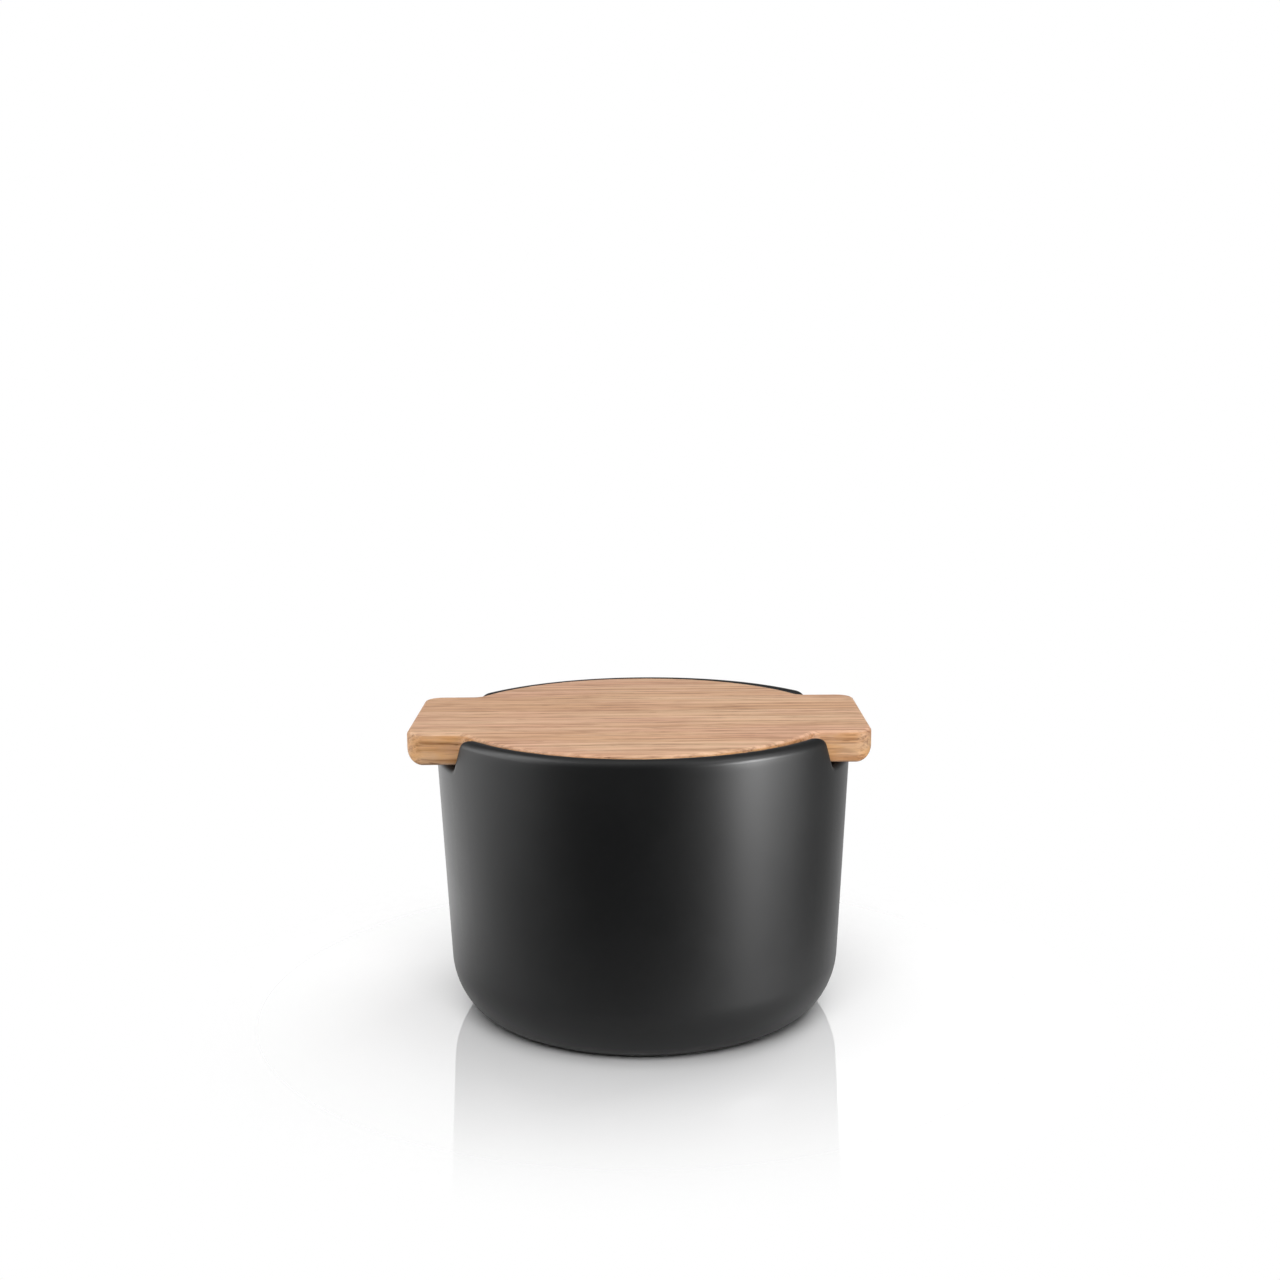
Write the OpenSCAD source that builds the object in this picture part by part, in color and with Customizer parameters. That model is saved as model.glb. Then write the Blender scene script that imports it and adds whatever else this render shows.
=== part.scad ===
// Sugar bowl: a matt black stoneware bowl and a loose oak lid.
// The lid is a disc with two flat ears. The disc lies in a rebate inside the mouth,
// and the ears pass out through two notches in the rim, where fingers lift it.
// Millimetres, +Z up. The origin is on the bowl's axis, in the plane it stands on.

/* [Bowl] */
// Outer diameter across the rim
rim_d = 100; // [94:1:110]
// Height of the rim above the table
bowl_h = 71.3; // [66:0.1:80]
// Slope of the outer wall from vertical, in degrees
wall_slope = 2.94; // [2:0.01:4]
// Radius of the wide turn from the wall towards the base
wide_turn_r = 17.9; // [14:0.1:22]
// Angle below horizontal at which the wide turn hands over to the tight one
turn_change = 36.5; // [30:0.5:45]
// Radius of the tight turn that meets the base
tight_turn_r = 9.5; // [7:0.5:12]
// Thickness of the wall below the rebate
wall_t = 5; // [4.5:0.1:6]
// Thickness of the floor
floor_t = 5.5; // [5:0.1:7]
// Radius between the inner wall and the floor
inner_turn_r = 17; // [14:0.5:20]

/* [Rim] */
// Radius on the outer edge of the rim
rim_outer_r = 1.8; // [1:0.1:2]
// Radius on the inner edge of the rim
rim_inner_r = 0.8; // [0.5:0.1:1]
// Width of each rim notch at its floor
notch_w = 46.2; // [44.4:0.1:47]
// How far each side of a notch leans outwards between its floor and the rim
notch_lean = 4.1; // [2:0.1:5]
// Chamfer between the floor and the sides of a notch
notch_root = 0.8; // [0.5:0.1:1.5]
// Chamfer where the sides of a notch meet the rim
notch_chamfer = 1.2; // [0.5:0.1:1.5]
// Depth of the notch floor below the rebate that carries the lid
notch_drop = 0.4; // [0.2:0.1:1.5]

/* [Foot] */
// Width of the ring that the bowl stands on
foot_w = 5; // [4:0.5:8]
// Depth of the hollow inside the foot ring
foot_hollow = 1.2; // [0.5:0.1:1.5]

/* [Lid] */
// Diameter of the disc
disc_d = 91.6; // [88:0.1:91.8]
// Length across both ears
lid_length = 107.6; // [104:0.1:114]
// Width of the ears
ear_w = 43.6; // [38:0.1:43.8]
// Thickness of the board
lid_t = 7.5; // [6:0.1:9]
// How far the lid's top stands proud of the rim
lid_proud = 0.3; // [0:0.1:1]
// Plan radius on the outer corners of the ears
ear_corner_r = 4.4; // [3:0.1:6]
// Plan radius in the corners between the disc and the ears
ear_root_r = 3; // [2:0.5:4]
// Radius under the end of each ear, where fingers reach
ear_grip_r = 4.1; // [3:0.1:5]
// Play left under the lid, where it lies on the rebate
lid_gap = 0.1; // [0.05:0.05:0.2]
// Radial play between the disc and the mouth, all round when centred
lid_play = 1.15; // [1:0.05:1.5]
// Where the loose lid lies in its play, along X
lid_shift = -0.9; // [-0.9:0.1:0.9]

/* [Hidden] */
$fn = 160;
// Overshoot that carries a cut clear of the faces that it opens
clear = 1;

rim_r = rim_d / 2;
disc_r = disc_d / 2;
mouth_r = disc_r + lid_play;
lid_top = bowl_h + lid_proud;
lid_bottom = lid_top - lid_t;
rebate_z = lid_bottom - lid_gap;
notch_z = rebate_z - notch_drop;

// Radius of the outer wall's cone at a height
function wall_r(z) = rim_r - (bowl_h - z) * tan(wall_slope);

// A point on a circle about a centre, at an angle below horizontal
function below(centre, radius, angle) = centre + radius * [cos(angle), -sin(angle)];

// The centre of a turn that is tangent to a sloping wall and whose lowest point is at low_z.
// The wall is given by its radius at the rim's height.
function turn_centre(wall_at_rim, radius, low_z) =
    let (z = low_z + radius)
    [wall_at_rim - (bowl_h - z) * tan(wall_slope) - radius / cos(wall_slope), z];

// Outer turns: the tight one stands on the base, and both share a normal where they meet,
// so the wide centre lies beyond the tight one on that normal.
turn_gap = wide_turn_r - tight_turn_r;
wide_z = tight_turn_r + turn_gap * sin(turn_change);
wide_centre = [wall_r(wide_z) - wide_turn_r / cos(wall_slope), wide_z];
tight_centre = below(wide_centre, turn_gap, turn_change);
turn_meet = below(wide_centre, wide_turn_r, turn_change);
wall_foot = below(wide_centre, wide_turn_r, wall_slope);
foot_r = tight_centre[0];

// Inner wall: parallel to the outer one, wall_t inside it
inner_at_rim = rim_r - wall_t / cos(wall_slope);
inner_centre = turn_centre(inner_at_rim, inner_turn_r, floor_t);
inner_foot = below(inner_centre, inner_turn_r, wall_slope);
inner_top_r = inner_at_rim - (bowl_h - rebate_z) * tan(wall_slope);

// The part of a circle between two angles below horizontal, as a wedge from its centre.
// It overlaps the straight-sided section that it rounds, so that the two join cleanly.
module sector(centre, radius, from, to) {
    // The wedge reaches past the circle, so only the arc itself bounds it
    reach = radius / cos((to - from) / 2) + clear;
    intersection() {
        translate(centre)
            circle(r = radius);
        polygon([centre, below(centre, reach, from), below(centre, reach, to)]);
    }
}

// Half section of the bowl's outside, without its rim radii
module outside_section() {
    polygon([
        [0, 0],
        [foot_r, 0],
        turn_meet,
        wall_foot,
        [rim_r, bowl_h],
        [0, bowl_h]
    ]);
    sector(tight_centre, tight_turn_r, turn_change, 90);
    sector(wide_centre, wide_turn_r, wall_slope, turn_change);
}

// Half section of the hollow below the rebate
module hollow_section() {
    polygon([
        [0, floor_t],
        [inner_centre[0], floor_t],
        inner_foot,
        [inner_top_r, rebate_z],
        [inner_top_r, rebate_z + clear],
        [0, rebate_z + clear]
    ]);
    sector(inner_centre, inner_turn_r, wall_slope, 90);
}

// Waste outside a quarter round at the rim; side is 1 for the outer edge and -1 for the inner
module rim_waste(edge_r, radius, side) {
    lean = side > 0 ? radius * tan(wall_slope) : 0;
    centre = [edge_r - side * radius - lean, bowl_h - radius];
    difference() {
        translate(centre + [side > 0 ? 0 : -radius - clear, 0])
            square([radius + clear, radius + clear]);
        translate(centre)
            circle(r = radius);
    }
}

// The opening that lets both ears through: leaning sides, with chamfers at the floor and the lips
module notch_outline() {
    half_w = notch_w / 2;
    lip_y = half_w + notch_lean;
    lean = notch_lean / (bowl_h - notch_z);
    one_side = [
        [half_w - notch_root, notch_z],
        [half_w + notch_root * lean, notch_z + notch_root],
        [lip_y - notch_chamfer * lean, bowl_h - notch_chamfer],
        [lip_y + notch_chamfer, bowl_h],
        [lip_y + notch_chamfer + clear, bowl_h + clear]
    ];
    last = len(one_side) - 1;
    polygon(concat(one_side, [for (i = [last:-1:0]) [-one_side[i][0], one_side[i][1]]]));
}

module bowl() {
    color([0.07, 0.07, 0.075])
        difference() {
            rotate_extrude()
                difference() {
                    outside_section();
                    hollow_section();
                    translate([0, rebate_z])
                        square([mouth_r, bowl_h]);
                    translate([0, -clear])
                        square([foot_r - foot_w, foot_hollow + clear]);
                    rim_waste(rim_r, rim_outer_r, 1);
                    rim_waste(mouth_r, rim_inner_r, -1);
                }
            rotate([90, 0, 90])
                linear_extrude(height = rim_d + 2 * clear, center = true)
                    notch_outline();
        }
}

// Plan of the lid: the disc, the ears with round corners, and a fillet in each inner corner
module lid_plan() {
    corner_x = lid_length / 2 - ear_corner_r;
    corner_y = ear_w / 2 - ear_corner_r;
    // Centre of a fillet circle that touches both the disc and the side of an ear
    root_y = ear_w / 2 + ear_root_r;
    root_x = sqrt(pow(disc_r + ear_root_r, 2) - pow(root_y, 2));
    difference() {
        union() {
            circle(r = disc_r);
            square([lid_length - 2 * ear_corner_r, ear_w], center = true);
            square([lid_length, ear_w - 2 * ear_corner_r], center = true);
            // Reaches the points where the fillets touch the disc
            square([root_x, root_y * disc_r / (disc_r + ear_root_r)] * 2, center = true);
            for (x = [-1, 1], y = [-1, 1])
                translate([x * corner_x, y * corner_y])
                    circle(r = ear_corner_r);
        }
        for (x = [-1, 1], y = [-1, 1])
            translate([x * root_x, y * root_y])
                circle(r = ear_root_r);
    }
}

// Side view of the board: square above and rounded under both ends
module lid_side() {
    half_l = lid_length / 2;
    translate([-half_l, ear_grip_r])
        square([lid_length, lid_t - ear_grip_r]);
    translate([-half_l + ear_grip_r, 0])
        square([lid_length - 2 * ear_grip_r, lid_t]);
    for (x = [-1, 1])
        translate([x * (half_l - ear_grip_r), ear_grip_r])
            circle(r = ear_grip_r);
}

module lid() {
    color([0.78, 0.6, 0.44])
        translate([lid_shift, 0, lid_bottom])
            intersection() {
                linear_extrude(height = lid_t)
                    lid_plan();
                rotate([90, 0, 0])
                    linear_extrude(height = rim_d, center = true)
                        lid_side();
            }
}

bowl();
lid();
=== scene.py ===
"""Sugar bowl: matt black stoneware with a loose oak lid that has two ears.

Sizes are in millimetres until a mesh is made, and Blender works in metres. The frame is the CAD's:
+Z up, the notches and the ears along X, and the origin on the bowl's axis in the plane it stands on.
"""
import math

import bpy
from mathutils import Matrix, Vector


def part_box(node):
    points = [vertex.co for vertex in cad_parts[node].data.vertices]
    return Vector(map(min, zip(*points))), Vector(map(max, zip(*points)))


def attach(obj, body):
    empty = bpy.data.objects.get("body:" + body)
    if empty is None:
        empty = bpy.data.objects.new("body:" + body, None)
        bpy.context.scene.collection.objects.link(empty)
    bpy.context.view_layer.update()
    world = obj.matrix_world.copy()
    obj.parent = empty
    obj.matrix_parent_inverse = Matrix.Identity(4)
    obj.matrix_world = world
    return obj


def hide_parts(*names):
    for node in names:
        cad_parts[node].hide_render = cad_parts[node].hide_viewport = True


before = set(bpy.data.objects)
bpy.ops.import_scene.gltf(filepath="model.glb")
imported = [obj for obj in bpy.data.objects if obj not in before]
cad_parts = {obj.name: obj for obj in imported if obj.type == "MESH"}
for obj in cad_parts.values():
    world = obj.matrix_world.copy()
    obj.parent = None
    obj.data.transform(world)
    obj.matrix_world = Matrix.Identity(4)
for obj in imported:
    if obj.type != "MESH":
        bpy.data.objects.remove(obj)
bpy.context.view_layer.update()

MM = 0.001

# ---------------------------------------------------------------- dimensions, as in part.scad

BOWL_BOX = [[c / MM for c in corner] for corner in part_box("bowl")]
LID_BOX = [[c / MM for c in corner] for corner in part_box("lid")]

RIM_R = 50.0
BOWL_H = BOWL_BOX[1][2]
WALL_SLOPE = math.radians(2.94)
WIDE_TURN_R = 17.9
TIGHT_TURN_R = 9.5
TURN_CHANGE = math.radians(36.5)
WALL_T = 5.0
FLOOR_T = 5.5
INNER_TURN_R = 17.0
FOOT_W = 5.0
FOOT_HOLLOW = 1.2
FOOT_EDGE_R = 0.5

RIM_OUTER_R = 1.8
RIM_INNER_R = 0.8
LEDGE_NOSE_R = 0.8
LEDGE_CORNER_R = 0.8
NOTCH_HALF_W = 23.1
NOTCH_LEAN = 4.1
NOTCH_ROOT_R = 1.5
NOTCH_LIP_R = 2.5
NOTCH_EDGE_R = 1.5

LID_BOTTOM = LID_BOX[0][2]
LID_TOP = LID_BOX[1][2]
LID_X = (LID_BOX[0][0] + LID_BOX[1][0]) / 2
LID_HALF_L = (LID_BOX[1][0] - LID_BOX[0][0]) / 2
DISC_R = (LID_BOX[1][1] - LID_BOX[0][1]) / 2
EAR_HALF_W = 21.8
EAR_CORNER_R = 4.4
EAR_ROOT_R = 3.0
EAR_GRIP_R = 4.1
LID_TOP_EDGE_R = 0.9
LID_LOW_EDGE_R = 0.8
LID_PLAY = 1.15
LID_GAP = 0.1
NOTCH_DROP = 0.4

MOUTH_R = DISC_R + LID_PLAY
LEDGE_Z = LID_BOTTOM - LID_GAP
NOTCH_Z = LEDGE_Z - NOTCH_DROP

QUARTER = math.pi / 2


# ---------------------------------------------------------------- small helpers

def smoothstep(low, high, value):
    """0 below low, 1 above high, and a smooth rise between them."""
    t = min(max((value - low) / (high - low), 0), 1)
    return t * t * (3 - 2 * t)


def spread(start, end, steps):
    """Even values from start to end, both included."""
    return [start + (end - start) * i / steps for i in range(steps + 1)]


def arc(centre, radius, start, end, steps):
    """Points on an arc in a plane, both ends included, with angles in radians."""
    return [
        (centre[0] + radius * math.cos(a), centre[1] + radius * math.sin(a))
        for a in spread(start, end, steps)
    ]


def add_piece(name, vertices, faces, body, node, materials, face_materials=None):
    """A smooth mesh, given in millimetres, that stands for a CAD node and rides on its body."""
    mesh = bpy.data.meshes.new(name)
    mesh.from_pydata([tuple(c * MM for c in v) for v in vertices], [], faces)
    for material in materials:
        mesh.materials.append(material)
    if face_materials:
        mesh.polygons.foreach_set("material_index", face_materials)
    mesh.shade_smooth()
    mesh.update()
    piece = bpy.data.objects.new(name, mesh)
    bpy.context.scene.collection.objects.link(piece)
    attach(piece, body)
    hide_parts(node)
    return piece


# ---------------------------------------------------------------- the bowl

WALL_TAN = math.tan(WALL_SLOPE)


def outer_r(z):
    """Radius of the outer wall's cone at a height."""
    return RIM_R - (BOWL_H - z) * WALL_TAN


def inner_r(z):
    """Radius of the inner wall, below the ledge that carries the lid."""
    return RIM_R - WALL_T / math.cos(WALL_SLOPE) - (BOWL_H - z) * WALL_TAN


def turn_centre(radius_at, radius, low_z):
    """Centre of a turn that touches a sloping wall and whose lowest point is at low_z."""
    z = low_z + radius
    return (radius_at(z) - radius / math.cos(WALL_SLOPE), z)


def outside_turns():
    """Centres of the wide turn under the wall and of the tight turn that meets the table."""
    gap = WIDE_TURN_R - TIGHT_TURN_R
    z = TIGHT_TURN_R + gap * math.sin(TURN_CHANGE)
    wide = (outer_r(z) - WIDE_TURN_R / math.cos(WALL_SLOPE), z)
    tight = (wide[0] + gap * math.cos(TURN_CHANGE), wide[1] - gap * math.sin(TURN_CHANGE))
    return wide, tight


def rim_outline():
    """A quarter of the rim's top line, from the middle of a notch to a quarter turn away.

    Each sample is (y, z, normal_y, normal_z): a place across the notch, its height, and the
    direction that points out of the clay there.
    """
    lean = math.atan2(BOWL_H - NOTCH_Z, NOTCH_LEAN)
    root_y = NOTCH_HALF_W - NOTCH_ROOT_R * math.tan(lean / 2)
    lip_y = NOTCH_HALF_W + NOTCH_LEAN + NOTCH_LIP_R * math.tan(lean / 2)
    floor = [(y, NOTCH_Z, 0, 1) for y in spread(0, root_y, 16)]
    root = [
        (root_y + NOTCH_ROOT_R * math.sin(a), NOTCH_Z + NOTCH_ROOT_R * (1 - math.cos(a)),
         -math.sin(a), math.cos(a))
        for a in spread(0, lean, 7)
    ]
    lip = [
        (lip_y - NOTCH_LIP_R * math.sin(a), BOWL_H - NOTCH_LIP_R * (1 - math.cos(a)),
         -math.sin(a), math.cos(a))
        for a in spread(lean, 0, 10)
    ]
    side = [
        (root[-1][0] + t * (lip[0][0] - root[-1][0]), root[-1][1] + t * (lip[0][1] - root[-1][1]),
         -math.sin(lean), math.cos(lean))
        for t in spread(0, 1, 14)
    ]
    rim = [
        (RIM_R * math.sin(a), BOWL_H, 0, 1)
        for a in spread(math.asin(lip_y / RIM_R), QUARTER, 30)
    ]
    return floor[:-1] + root[:-1] + side[:-1] + lip[:-1] + rim


# Radii of the first ring round the pole of the skin, under the base and on the floor inside
HOLLOW_POLE_R = 4.0
FLOOR_POLE_R = 3.0
# The glaze stops this many rows up the rounded edges on both sides of the foot ring
BARE_ROWS_UP = 2


def base_section():
    """(r, z) from the hollow under the base to the foot of the straight wall, and the bare rows."""
    wide, tight = outside_turns()
    ring_in = tight[0] - FOOT_W
    edge_r = FOOT_EDGE_R
    points = [(r, FOOT_HOLLOW) for r in spread(HOLLOW_POLE_R, ring_in - 2 * edge_r, 7)]
    points += arc((ring_in - edge_r, FOOT_HOLLOW - edge_r), edge_r, QUARTER, 0, 4)
    points += arc((ring_in + edge_r, edge_r), edge_r, -2 * QUARTER, -QUARTER, 4)
    bare_from = len(points) - BARE_ROWS_UP
    points += [(r, 0) for r in spread(ring_in + edge_r, tight[0], 4)[1:-1]]
    bare_to = len(points) + BARE_ROWS_UP
    points += arc(tight, TIGHT_TURN_R, -QUARTER, -TURN_CHANGE, 14)
    points += arc(wide, WIDE_TURN_R, -TURN_CHANGE, -WALL_SLOPE, 12)[1:]
    return points, (bare_from, bare_to)


def floor_section(top_z):
    """(r, z) inside the bowl, from top_z on the inner wall to the flat floor."""
    centre = turn_centre(inner_r, INNER_TURN_R, FLOOR_T)
    foot_z = centre[1] - INNER_TURN_R * math.sin(WALL_SLOPE)
    points = [(inner_r(z), z) for z in spread(top_z, foot_z, 9)[:-1]]
    points += arc(centre, INNER_TURN_R, -WALL_SLOPE, -QUARTER, 16)
    points += [(r, FLOOR_T) for r in spread(centre[0], FLOOR_POLE_R, 5)[1:]]
    return points


# Below this height every section is the same, and above it the sections follow the notches
PLAIN_Z = 56.0
# Near a notch the wall is cut square across, and the sections turn towards the axis between these
# distances from the middle of the notch
SQUARE_TO_Y = 29.0
RADIAL_FROM_Y = 38.0
# Where the step down to the ledge is low, its two radii share this part of it each, and its rows
# spread out sideways by a hair so that none coincide
RADIUS_SHARE = 0.45
STEP_SPREAD = 0.05
FULL_STEP = 1.2
# Steps along the ledge, round its nose and down the throat below it, which carry the inner glaze
LEDGE_STEPS = 4
NOSE_STEPS = 6
THROAT_STEPS = 5
LEDGE_ROWS = LEDGE_STEPS - 1 + NOSE_STEPS + 1 + THROAT_STEPS - 1


def rim_section(sample):
    """The upper wall at a sample of the rim's outline, up the outside and down the inside.

    Each row is (r, y, z, weight): weight is 1 where y and z follow the outline and 0 where they don't.
    """
    y, z, normal_y, normal_z = sample
    height = (z - NOTCH_Z) / (BOWL_H - NOTCH_Z)
    edge_r = NOTCH_EDGE_R + (RIM_OUTER_R - NOTCH_EDGE_R) * height
    ledge_z = min(LEDGE_Z, z)
    step = z - ledge_z
    inner_edge_r = min(RIM_INNER_R, RADIUS_SHARE * step)
    corner_r = min(LEDGE_CORNER_R, RADIUS_SHARE * step)

    def sunk(depth):
        """The outline's place, moved into the clay."""
        return y - normal_y * depth, z - normal_z * depth

    rows = []
    low_y, low_z = sunk(edge_r)
    for t in spread(0, 1, 9)[1:-1]:
        row_z = PLAIN_Z + (low_z - PLAIN_Z) * t
        rows.append((outer_r(row_z), y + (low_y - y) * t, row_z, t))
    for a in spread(QUARTER, 0, 9):
        row_y, row_z = sunk(edge_r * (1 - math.cos(a)))
        rows.append((outer_r(row_z) - edge_r * (1 - math.sin(a)), row_y, row_z, 1))
    crest_out = outer_r(z) - edge_r
    crest_in = MOUTH_R + inner_edge_r
    rows += [(r, y, z, 1) for r in spread(crest_out, crest_in, 4)[1:-1]]

    # The step down to the ledge, which closes up where the notch's floor is as low as the ledge
    step_rows = []
    for a in spread(0, QUARTER, 5):
        row_y, row_z = sunk(inner_edge_r * (1 - math.cos(a)))
        step_rows.append((crest_in - inner_edge_r * math.sin(a), row_y, row_z))
    top_y, top_z = sunk(inner_edge_r)
    for t in spread(0, 1, 6)[1:-1]:
        step_rows.append((MOUTH_R, top_y + (y - top_y) * t, top_z + (ledge_z + corner_r - top_z) * t))
    for a in spread(0, QUARTER, 5):
        row_z = ledge_z + corner_r * (1 - math.sin(a))
        step_rows.append((MOUTH_R - corner_r * (1 - math.cos(a)), y, row_z))
    ease = STEP_SPREAD * (1 - smoothstep(0, FULL_STEP, step))
    middle = (len(step_rows) - 1) / 2
    rows += [(r + ease * (middle - i), *yz, 1) for i, (r, *yz) in enumerate(step_rows)]

    ledge_out = rows[-1][0]
    nose = (inner_r(ledge_z) + LEDGE_NOSE_R, ledge_z - LEDGE_NOSE_R)
    rows += [(r, y, ledge_z, 1) for r in spread(ledge_out, nose[0], LEDGE_STEPS)[1:-1]]
    round_nose = arc(nose, LEDGE_NOSE_R, QUARTER, 2 * QUARTER, NOSE_STEPS)
    rows += [(r, y, row_z, 1) for r, row_z in round_nose]
    for t in spread(1, 0, THROAT_STEPS)[1:-1]:
        row_z = PLAIN_Z + (nose[1] - PLAIN_Z) * t
        rows.append((inner_r(row_z), y, row_z, t))
    return rows


def bowl_column(sample):
    """Every (x, y, z) of one section of the bowl, in the quarter where x and y are positive."""
    y = sample[0]
    turn = math.asin(min(y / RIM_R, 1))
    square = 1 - smoothstep(SQUARE_TO_Y, RADIAL_FROM_Y, y)
    column = []

    def add(r, z, row_y=0.0, weight=0.0):
        side = r * math.sin(turn) * (1 - weight) + row_y * weight
        column.append((math.sqrt(max(r * r - side * side, 0)), side, z))

    base, _ = base_section()
    for r, z in base:
        add(r, z)
    for z in spread(base[-1][1], PLAIN_Z, 12)[1:]:
        add(outer_r(z), z)
    for r, row_y, z, weight in rim_section(sample):
        add(r, z, row_y, weight * square)
    for r, z in floor_section(PLAIN_Z):
        add(r, z)
    return column


def around(quarter, mirrored):
    """A full turn from the samples of a quarter turn, both of whose ends lie on an axis."""
    turn = [mirrored(c, 1, 1) for c in quarter]
    turn += [mirrored(c, -1, 1) for c in quarter[-2::-1]]
    turn += [mirrored(c, -1, -1) for c in quarter[1:]]
    turn += [mirrored(c, 1, -1) for c in quarter[-2:0:-1]]
    return turn


def grid_faces(columns, rows, first_pole, last_pole):
    """Faces of a closed skin: quads between columns, and a fan of triangles at each pole."""
    faces = []
    for c in range(columns):
        a = c * rows
        b = (c + 1) % columns * rows
        faces.append((first_pole, b, a))
        faces += [(a + i, b + i, b + i + 1, a + i + 1) for i in range(rows - 1)]
        faces.append((last_pole, a + rows - 1, b + rows - 1))
    return faces


# Where each material is in the bowl's list
OUTSIDE, BARE, INSIDE = range(3)


def make_bowl(glaze, inner_glaze, bare_clay):
    """The whole bowl as one closed skin, outside and inside."""
    quarter = [bowl_column(sample) for sample in rim_outline()]
    columns = around(quarter, lambda c, sx, sy: [(sx * x, sy * y, z) for x, y, z in c])
    rows = len(quarter[0])
    vertices = [v for column in columns for v in column]
    poles = len(vertices)
    vertices += [(0, 0, FOOT_HOLLOW), (0, 0, FLOOR_T)]
    faces = grid_faces(len(columns), rows, poles, poles + 1)

    _, (bare_from, bare_to) = base_section()
    inside_from = rows - len(floor_section(PLAIN_Z)) - LEDGE_ROWS

    def coat(row):
        """Which of the three materials a row of faces has."""
        if bare_from <= row < bare_to:
            return BARE
        return INSIDE if row >= inside_from else OUTSIDE

    # The first and last faces of each column belong to the fans at the poles
    of_column = [OUTSIDE] + [coat(row) for row in range(rows - 1)] + [INSIDE]
    return add_piece(
        "stoneware_bowl", vertices, faces, "bowl", "bowl",
        [glaze, bare_clay, inner_glaze], of_column * len(columns),
    )


# ---------------------------------------------------------------- the lid

def lid_outline():
    """A quarter of the board's plan, from the end of an ear to the disc's side.

    Each sample is (x, y, normal_x, normal_y), about the lid's own centre.
    """
    corner = (LID_HALF_L - EAR_CORNER_R, EAR_HALF_W - EAR_CORNER_R)
    root_y = EAR_HALF_W + EAR_ROOT_R
    root_x = math.sqrt((DISC_R + EAR_ROOT_R) ** 2 - root_y ** 2)
    root_turn = math.atan2(root_y, root_x)

    def round_part(centre, radius, start, end, steps):
        """Samples on an arc, where a negative radius makes it hollow."""
        points = arc(centre, radius, start, end, steps)
        return [(*p, math.cos(a), math.sin(a)) for p, a in zip(points, spread(start, end, steps))]

    tip = [(LID_HALF_L, y, 1, 0) for y in spread(0, corner[1], 12)]
    side = [(x, EAR_HALF_W, 0, 1) for x in spread(corner[0], root_x, 6)]
    parts = [tip, round_part(corner, EAR_CORNER_R, 0, QUARTER, 14), side]
    parts.append(round_part((root_x, root_y), -EAR_ROOT_R, QUARTER, root_turn, 8))
    parts.append(round_part((0, 0), DISC_R, root_turn, QUARTER, 36))
    # Each part ends where the next one starts
    return [sample for part in parts for sample in part[:-1]] + parts[-1][-1:]


def edge_drop(radius, depth):
    """How far a rounded edge has fallen at a depth inside the outline."""
    if depth >= radius:
        return 0
    return radius - math.sqrt(radius ** 2 - (radius - depth) ** 2)


# How far in from an ear's rounded end the small radius starts to give way
GRIP_MARGIN = 1.0
# Size of the last ring round the lid's poles, as a share of the plan
POLE_SHARE = 0.1


def lid_column(sample):
    """Every (x, y, z) of the skin above and below a sample of the plan, from the bottom to the top."""
    x, y, normal_x, normal_y = sample
    # The small radius under the board gives way to the wide one at the ends of the ears
    at_tip = abs(x) > LID_HALF_L - EAR_GRIP_R - GRIP_MARGIN
    low_edge_r = LID_LOW_EDGE_R * (1 - abs(normal_x)) if at_tip else LID_LOW_EDGE_R
    insets = [EAR_GRIP_R * (1 - math.cos(a)) for a in spread(0, QUARTER, 14)]
    shrink = spread(1, POLE_SHARE, 6)[1:]
    last_x, last_y = x - normal_x * insets[-1], y - normal_y * insets[-1]

    def low(depth):
        at_x = x - normal_x * depth
        grip = edge_drop(EAR_GRIP_R, LID_HALF_L - abs(at_x))
        return (at_x, y - normal_y * depth, LID_BOTTOM + grip + edge_drop(low_edge_r, depth))

    def high(depth):
        return (x - normal_x * depth, y - normal_y * depth, LID_TOP - edge_drop(LID_TOP_EDGE_R, depth))

    column = [(last_x * s, last_y * s, LID_BOTTOM) for s in reversed(shrink)]
    column += [low(d) for d in reversed(insets)]
    column += [(x, y, z) for z in spread(low(0)[2], high(0)[2], 5)[1:-1]]
    column += [high(d) for d in insets]
    column += [(last_x * s, last_y * s, LID_TOP) for s in shrink]
    return column


def make_lid(oak):
    """The board with both ears as one closed skin."""
    quarter = [lid_column(sample) for sample in lid_outline()]
    columns = around(quarter, lambda c, sx, sy: [(sx * x + LID_X, sy * y, z) for x, y, z in c])
    vertices = [v for column in columns for v in column]
    poles = len(vertices)
    vertices += [(LID_X, 0, LID_BOTTOM), (LID_X, 0, LID_TOP)]
    faces = grid_faces(len(columns), len(quarter[0]), poles, poles + 1)
    return add_piece("oak_lid", vertices, faces, "lid", "lid", [oak])


# ---------------------------------------------------------------- materials

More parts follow.
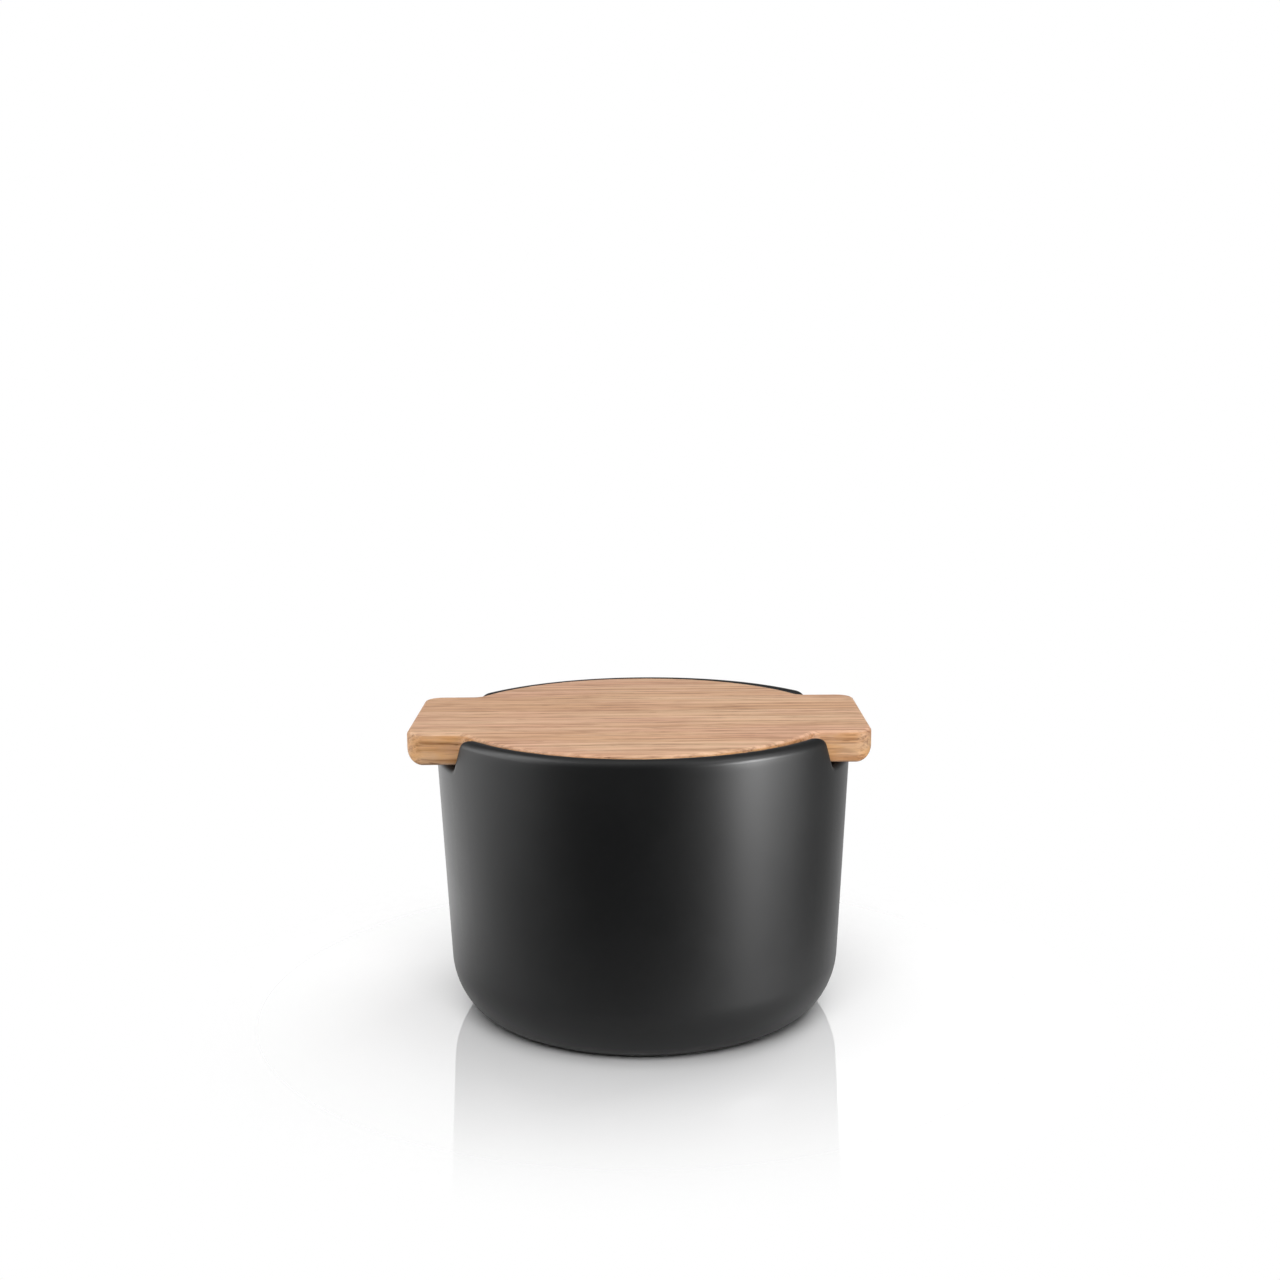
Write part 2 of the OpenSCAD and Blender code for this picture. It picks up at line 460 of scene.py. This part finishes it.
class Shader:
    """A node tree with short calls to add nodes and join them."""

    def __init__(self, owner):
        owner.use_nodes = True
        self.tree = owner.node_tree
        self.tree.nodes.clear()

    def add(self, kind, inputs=None, **settings):
        """A node. An input that is itself a socket is linked, and any other value is set."""
        node = self.tree.nodes.new(kind)
        for name, value in settings.items():
            setattr(node, name, value)
        for name, value in (inputs or {}).items():
            if isinstance(value, bpy.types.NodeSocket):
                self.tree.links.new(value, node.inputs[name])
            else:
                node.inputs[name].default_value = value
        return node

    def math(self, operation, a, b=0.0):
        return self.add("ShaderNodeMath", {0: a, 1: b}, operation=operation).outputs[0]

    def vector(self, operation, a, b):
        return self.add("ShaderNodeVectorMath", {0: a, 1: b}, operation=operation).outputs[0]

    def length(self, a):
        return self.add("ShaderNodeVectorMath", {0: a}, operation="LENGTH").outputs["Value"]

    def ramp(self, value, low, high, to_low=0.0, to_high=1.0):
        """A smooth change from to_low to to_high while value goes from low to high."""
        return self.add(
            "ShaderNodeMapRange",
            {"Value": value, "From Min": low, "From Max": high, "To Min": to_low, "To Max": to_high},
            interpolation_type="SMOOTHSTEP",
        ).outputs["Result"]

    def mix(self, factor, a, b, blend="MIX"):
        """Colour a changed towards colour b. Each is a socket or (red, green, blue)."""
        a, b = ((*colour, 1) if isinstance(colour, tuple) else colour for colour in (a, b))
        # Sockets 0, 6 and 7 are the factor and the two colours, and output 2 is the colour
        inputs = {0: factor, 6: a, 7: b}
        return self.add("ShaderNodeMix", inputs, data_type="RGBA", blend_type=blend).outputs[2]

    def millimetres(self):
        """Places on the object in millimetres, which move with it."""
        place = self.add("ShaderNodeTexCoord").outputs["Object"]
        return self.vector("MULTIPLY", place, (1 / MM,) * 3)

    def noise(self, place, per_mm, detail, roughness, output="Fac"):
        """Noise with a number of features to the millimetre, alike on all axes or one for each."""
        scaled = self.vector("MULTIPLY", place, per_mm if isinstance(per_mm, tuple) else (per_mm,) * 3)
        node = self.add(
            "ShaderNodeTexNoise",
            {"Vector": scaled, "Scale": 1.0, "Detail": detail, "Roughness": roughness},
        )
        return node.outputs[output]

    def shift(self, place, per_mm, detail, reach):
        """Places moved about by noise, by up to reach millimetres across the grain."""
        push = self.vector("SUBTRACT", self.noise(place, per_mm, detail, 0.5, "Color"), (0.5, 0.5, 0.5))
        return self.vector("MULTIPLY", push, (0, reach, reach))

    def bump(self, height, strength, depth):
        """A normal for a surface whose height rises by a depth in millimetres."""
        inputs = {"Strength": strength, "Distance": depth * MM, "Height": height}
        return self.add("ShaderNodeBump", inputs).outputs[0]

    def surface(self, colour, roughness, normal, ior=1.5, specular=0.5):
        """The material's surface, made and joined to its output."""
        shader = self.add("ShaderNodeBsdfPrincipled", {
            "Base Color": colour, "Roughness": roughness, "Normal": normal, "IOR": ior,
            "Specular IOR Level": specular,
        })
        self.finish(shader)

    def finish(self, shader):
        self.add("ShaderNodeOutputMaterial", {"Surface": shader.outputs[0]})


# Colours are linear red, green and blue
GLAZE_BLACK = (0.0032, 0.0034, 0.0037)
GLAZE_THIN = (0.0042, 0.0044, 0.0047)
INNER_BLACK = (0.0042, 0.0044, 0.0048)
INNER_THIN = (0.0055, 0.0057, 0.0060)
SPECK = (0.02, 0.0195, 0.019)
SPECK_STRENGTH = 0.3
GLAZE_SPECULAR = 0.3
GLAZE_ROUGHNESS = 0.40
INNER_ROUGHNESS = 0.28

CLAY_BROWN = (0.16, 0.125, 0.095)
CLAY_BUFF = (0.24, 0.195, 0.15)
CLAY_GRIT = (0.07, 0.055, 0.045)


def glaze_material(name, roughness, colour, thin_colour):
    """Satin black glaze: nearly smooth, a little clouded, with fine grit and a few paler specks."""
    material = bpy.data.materials.new(name)
    s = Shader(material)
    place = s.millimetres()
    clouds = s.noise(place, 0.06, 3, 0.55)
    peel = s.noise(place, 0.35, 2, 0.5)
    grit = s.noise(place, 1.6, 3, 0.6)
    specks = s.ramp(s.noise(place, 3.2, 1, 0.4), 0.70, 0.78)

    base = s.mix(s.ramp(clouds, 0.35, 0.7), colour, thin_colour)
    base = s.mix(s.math("MULTIPLY", specks, SPECK_STRENGTH), base, SPECK)
    rough = s.math("ADD", roughness - 0.05, s.math("MULTIPLY", clouds, 0.07))
    rough = s.math("ADD", rough, s.math("MULTIPLY", grit, 0.06))
    height = s.math("ADD", s.math("MULTIPLY", grit, 0.35), peel)
    s.surface(base, rough, s.bump(height, strength=0.25, depth=0.02), specular=GLAZE_SPECULAR)
    return material


def clay_material():
    """Bare fired clay on the ring that the bowl stands on."""
    material = bpy.data.materials.new("bare_stoneware")
    s = Shader(material)
    place = s.millimetres()
    grain = s.noise(place, 1.3, 4, 0.65)
    grit = s.ramp(s.noise(place, 2.6, 2, 0.5), 0.62, 0.72)
    base = s.mix(s.ramp(grain, 0.3, 0.7), CLAY_BROWN, CLAY_BUFF)
    base = s.mix(grit, base, CLAY_GRIT)
    rough = s.ramp(grain, 0.2, 0.8, 0.75, 0.92)
    s.surface(base, rough, s.bump(grain, strength=0.6, depth=0.08))
    return material


# Where in the oak's cross section its growth rings have their centre, and their spacing
PITH = (0, -75.0, 8.0)
RING_WIDTH = 2.6
RING_WANDER = 2.2

STRAW = (0.73, 0.495, 0.325)
HONEY = (0.645, 0.395, 0.242)
ROSY = (0.63, 0.360, 0.246)
PALE = (0.80, 0.575, 0.42)
STREAK = (0.28, 0.137, 0.074)
PORE = (0.13, 0.058, 0.028)
# Painted shade: what the board's sides are multiplied by, darker and more orange than its top
SIDE_SHADE_TINT = (0.98, 0.82, 0.56)
OAK_IOR = 1.45
OAK_SPECULAR = 0.12

# Noise that runs along the grain: features to the millimetre along it and across it, then the
# noise's detail and roughness
GRAIN = {
    "bands": (0.010, 0.16, 3, 0.55),
    "lines": (0.014, 1.15, 5, 0.68),
    "dashes": (0.075, 1.9, 3, 0.6),
    "strokes": (0.045, 0.62, 3, 0.62),
    "fibres": (0.16, 6.5, 3, 0.6),
    "pores": (0.19, 3.6, 2, 0.5),
}
# What the grain adds, in order: the noise, the values between which it comes in, how strong it
# gets, and its colour
MARKS = (
    ("lines", 0.50, 0.74, 0.62, STREAK),
    ("lines", 0.48, 0.26, 0.60, PALE),
    ("dashes", 0.52, 0.72, 0.48, STREAK),
    ("strokes", 0.54, 0.68, 0.52, STREAK),
    ("fibres", 0.42, 0.78, 0.28, STREAK),
)


def oak_material():
    """Oiled oak with its grain along X: growth rings, streaks, pores and fibres from one solid texture."""
    material = bpy.data.materials.new("oak")
    s = Shader(material)
    place = s.millimetres()
    grown = s.vector("ADD", place, s.shift(place, (0.007, 0.02, 0.02), 1, 4.0))
    grown = s.vector("ADD", grown, s.shift(place, (0.035, 0.15, 0.15), 2, 0.9))
    grain = {
        name: s.noise(grown, (along, across, across), detail, roughness)
        for name, (along, across, detail, roughness) in GRAIN.items()
    }

    distance = s.length(s.vector("MULTIPLY", s.vector("SUBTRACT", grown, PITH), (0, 1, 1)))
    ring_place = s.add("ShaderNodeCombineXYZ", {"X": distance}).outputs[0]
    wander = s.math("MULTIPLY", s.noise(ring_place, 0.13, 2, 0.5), RING_WANDER)
    ring = s.math("FRACT", s.math("ADD", s.math("DIVIDE", distance, RING_WIDTH), wander))
    # Dark, open-pored wood at the start of each year's growth, and dense wood at its end
    early = s.math("MULTIPLY", s.ramp(ring, 0.0, 0.10), s.ramp(ring, 0.48, 0.14))
    late = s.math("MULTIPLY", s.ramp(ring, 0.5, 0.95), s.ramp(ring, 1.0, 0.97))
    early_marks = s.math("MULTIPLY", early, s.ramp(grain["dashes"], 0.35, 0.62, 0.12, 0.55))
    porous = s.math("ADD", s.math("MULTIPLY", early, 0.8), 0.2)
    pores = s.math("MULTIPLY", s.ramp(grain["pores"], 0.60, 0.70), porous)
    patches = s.noise(place, (0.022, 0.09, 0.09), 2, 0.5)

    base = s.mix(s.ramp(grain["bands"], 0.36, 0.64), STRAW, HONEY)
    base = s.mix(s.ramp(patches, 0.42, 0.66, 0, 0.7), base, ROSY)
    base = s.mix(early_marks, base, STREAK)
    base = s.mix(s.math("MULTIPLY", late, 0.18), base, STREAK)
    for name, low, high, strength, colour in MARKS:
        base = s.mix(s.ramp(grain[name], low, high, 0, strength), base, colour)
    # Faces that don't face up are painted darker and more orange than the top: painted shade on the
    # board's sides, broken up by noise
    normal = s.add("ShaderNodeTexCoord").outputs["Normal"]
    facing = s.math("ABSOLUTE", s.add("ShaderNodeSeparateXYZ", {0: normal}).outputs["Z"])
    mottle = s.ramp(s.noise(place, (0.10, 0.30, 0.30), 3, 0.55), 0.36, 0.66, 0.4, 1.0)
    base = s.mix(s.math("MULTIPLY", s.ramp(facing, 0.65, 0.2), mottle), base, SIDE_SHADE_TINT, "MULTIPLY")
    base = s.mix(s.math("MULTIPLY", pores, 0.75), base, PORE)

    height = s.math("SUBTRACT", s.math("MULTIPLY", grain["fibres"], 0.4), pores)
    height = s.math("SUBTRACT", height, s.math("MULTIPLY", early, 0.3))
    rough = s.math("ADD", s.ramp(grain["lines"], 0.3, 0.7, 0.52, 0.62), s.math("MULTIPLY", pores, 0.15))
    s.surface(base, rough, s.bump(height, strength=0.5, depth=0.06), OAK_IOR, OAK_SPECULAR)
    return material


# ---------------------------------------------------------------- floor, light and camera

# Radii in millimetres: the floor is whole up to the first and has faded away at the second
FLOOR_FADE = (55.0, 118.0)
FLOOR_R = 130.0
FLOOR_SIDES = 96
FLOOR_WHITE = (0.9, 0.9, 0.902, 1)
FLOOR_ROUGHNESS = 0.03
FLOOR_IOR = 1.5
WHITE = (1, 1, 1, 1)


def floor_material():
    """White studio table, glossy enough to mirror the base softly, that fades into the backdrop."""
    material = bpy.data.materials.new("studio_floor")
    s = Shader(material)
    out = s.length(s.millimetres())
    matt = s.add("ShaderNodeBsdfDiffuse", {"Color": FLOOR_WHITE})
    gloss = s.add("ShaderNodeBsdfGlossy", {"Color": WHITE, "Roughness": FLOOR_ROUGHNESS})
    fresnel = s.add("ShaderNodeFresnel", {"IOR": FLOOR_IOR})
    table = s.add("ShaderNodeMixShader", {0: fresnel.outputs[0], 1: matt.outputs[0], 2: gloss.outputs[0]})
    clear = s.add("ShaderNodeBsdfTransparent")
    fade = s.ramp(out, *FLOOR_FADE)
    s.finish(s.add("ShaderNodeMixShader", {0: fade, 1: table.outputs[0], 2: clear.outputs[0]}))
    return material


def make_floor():
    """A disc in the plane that the bowl stands on. It is lit and seen, and isn't part of the object."""
    edge = arc((0, 0), FLOOR_R * MM, 0, 4 * QUARTER, FLOOR_SIDES)[:-1]
    mesh = bpy.data.meshes.new("floor")
    mesh.from_pydata([(x, y, 0) for x, y in edge], [], [tuple(range(FLOOR_SIDES))])
    mesh.materials.append(floor_material())
    floor = bpy.data.objects.new("floor", mesh)
    bpy.context.scene.collection.objects.link(floor)
    return floor


# The studio's wide, dim parts. Each has an azimuth to the right of the front and an elevation, in
# degrees, then how narrow it is and how bright.
GLOWS = (
    (180, -20, 9.0, 0.75),
    (150, -20, 9.0, 0.6),
    (-150, -22, 9.0, 1.3),
    (-115, -22, 9.0, 1.3),
    (0, 90, 4.0, 0.7),
)
AMBIENT = 0.11


def direction(azimuth, elevation):
    """A unit vector towards a place round the object: azimuth 0 is the camera's side, and 90 is +X."""
    a, e = math.radians(azimuth), math.radians(elevation)
    return Vector((math.sin(a) * math.cos(e), -math.cos(a) * math.cos(e), math.sin(e)))


def make_studio():
    """The room that lights the object and is seen in it. The camera itself sees plain white."""
    world = bpy.data.worlds.new("studio")
    bpy.context.scene.world = world
    s = Shader(world)
    outward = s.add("ShaderNodeTexCoord").outputs["Generated"]
    total = AMBIENT
    for azimuth, elevation, narrow, strength in GLOWS:
        facing = s.add(
            "ShaderNodeVectorMath", {0: outward, 1: direction(azimuth, elevation)}, operation="DOT_PRODUCT"
        ).outputs["Value"]
        glow = s.math("POWER", s.math("MAXIMUM", facing, 0.0), narrow)
        total = s.math("ADD", s.math("MULTIPLY", glow, strength), total)
    room = s.add("ShaderNodeBackground", {"Color": WHITE, "Strength": total})
    backdrop = s.add("ShaderNodeBackground", {"Color": WHITE, "Strength": 1.0})
    seen = s.add("ShaderNodeLightPath").outputs["Is Camera Ray"]
    shader = s.add("ShaderNodeMixShader", {0: seen, 1: room.outputs[0], 2: backdrop.outputs[0]})
    s.add("ShaderNodeOutputWorld", {"Surface": shader.outputs[0]})


# What a soft box does: whether it lights, whether it is reflected, and whether it does so on the
# floor only or on the object only
USES = {
    "gloss": (False, True, "object"),
    "fill": (True, False, "object"),
    "table": (True, False, "floor"),
    "mirror": (False, True, "floor"),
}
LIGHT_TARGET = Vector((0, 0, 0.05))
LIGHT_DISTANCE = 0.62
# Soft boxes: azimuth and elevation in degrees, width and height in metres, radiance, and use
SOFT_BOXES = {
    "key": (58, -1, 0.13, 0.16, 106.0, "gloss"),
    "key_high": (60, 36, 0.35, 0.4, 5.5, "gloss"),
    "left_high": (-78, 36, 0.35, 0.45, 7.0, "gloss"),
    "right_side": (82, -10, 0.15, 0.13, 7.0, "gloss"),
    "left_front": (-68, 3, 0.28, 0.28, 4.5, "gloss"),
    "left_side": (-95, 5, 0.25, 0.26, 5.6, "gloss"),
    "overhead": (0, 80, 0.6, 0.6, 0.5, "gloss"),
    "left_fill": (-80, 4, 0.35, 0.28, 5.5, "fill"),
    "front_fill": (10, 35, 0.5, 0.3, 5.5, "fill"),
    "right_fill": (55, 12, 0.3, 0.3, 5.5, "fill"),
    "top_fill": (180, 75, 0.5, 0.5, 1.8, "fill"),
    "table_front": (-2, 38, 0.5, 0.3, 5.4, "table"),
    "table_top": (0, 78, 0.5, 0.5, 1.2, "table"),
    "table_right": (135, 32, 0.4, 0.3, 3.2, "table"),
    "backdrop": (180, 14, 1.3, 0.5, 1.5, "mirror"),
}


def receivers(name, objects):
    """A collection that names what a soft box may light."""
    collection = bpy.data.collections.new(name)
    for item in objects:
        collection.objects.link(item)
    return collection


def add_soft_box(name, azimuth, elevation, width, height, radiance, lights, reflects, lit):
    """A flat light that faces the object and acts on one collection."""
    light = bpy.data.lights.new(name, "AREA")
    light.shape = "RECTANGLE"
    light.size, light.size_y = width, height
    light.energy = radiance * math.pi * width * height
    box = bpy.data.objects.new(name, light)
    outward = direction(azimuth, elevation)
    box.location = LIGHT_TARGET + outward * LIGHT_DISTANCE
    box.rotation_mode = "QUATERNION"
    box.rotation_quaternion = outward.to_track_quat("Z", "Y")
    box.visible_camera = False
    box.visible_diffuse = lights
    box.visible_glossy = reflects
    box.light_linking.receiver_collection = lit
    bpy.context.scene.collection.objects.link(box)


def make_lights(pieces, floor):
    """Every soft box, each linked to the object or to the floor."""
    lit = {"object": receivers("lit_pieces", pieces), "floor": receivers("lit_table", [floor])}
    for name, (*settings, use) in SOFT_BOXES.items():
        lights, reflects, on = USES[use]
        add_soft_box(name, *settings, lights, reflects, lit[on])


# The camera that fits the photo's outline: its place in metres, its angles in radians, and its lens
# and sensor in millimetres
CAMERA_PLACE = (0.0, -0.4234, 0.1594)
CAMERA_PITCH = 0.1638
CAMERA_ROLL = -0.008
CAMERA_LENS = 50.35
SENSOR_WIDTH = 36.0
CAMERA_SHIFT_X = -0.00177


def make_camera():
    """The view of the photo. The camera looks along +Y, a little downwards."""
    data = bpy.data.cameras.new("camera")
    data.sensor_width = SENSOR_WIDTH
    data.lens = CAMERA_LENS
    data.shift_x = CAMERA_SHIFT_X
    data.clip_start = 0.01
    camera = bpy.data.objects.new("camera", data)
    forward = Vector((0, math.cos(CAMERA_PITCH), -math.sin(CAMERA_PITCH)))
    level = Vector((1, 0, 0))
    upright = level.cross(forward)
    right = level * math.cos(CAMERA_ROLL) + upright * math.sin(CAMERA_ROLL)
    up = upright * math.cos(CAMERA_ROLL) - level * math.sin(CAMERA_ROLL)
    axes = Matrix((right, up, -forward)).transposed().to_4x4()
    camera.matrix_world = Matrix.Translation(CAMERA_PLACE) @ axes
    bpy.context.scene.collection.objects.link(camera)
    bpy.context.scene.camera = camera


# ---------------------------------------------------------------- the scene

make_camera()
bowl = make_bowl(
    glaze_material("satin_black_glaze", GLAZE_ROUGHNESS, GLAZE_BLACK, GLAZE_THIN),
    glaze_material("inner_black_glaze", INNER_ROUGHNESS, INNER_BLACK, INNER_THIN),
    clay_material(),
)
lid = make_lid(oak_material())
floor = make_floor()
make_studio()
make_lights([bowl, lid], floor)
bpy.context.scene.view_settings.view_transform = "Standard"
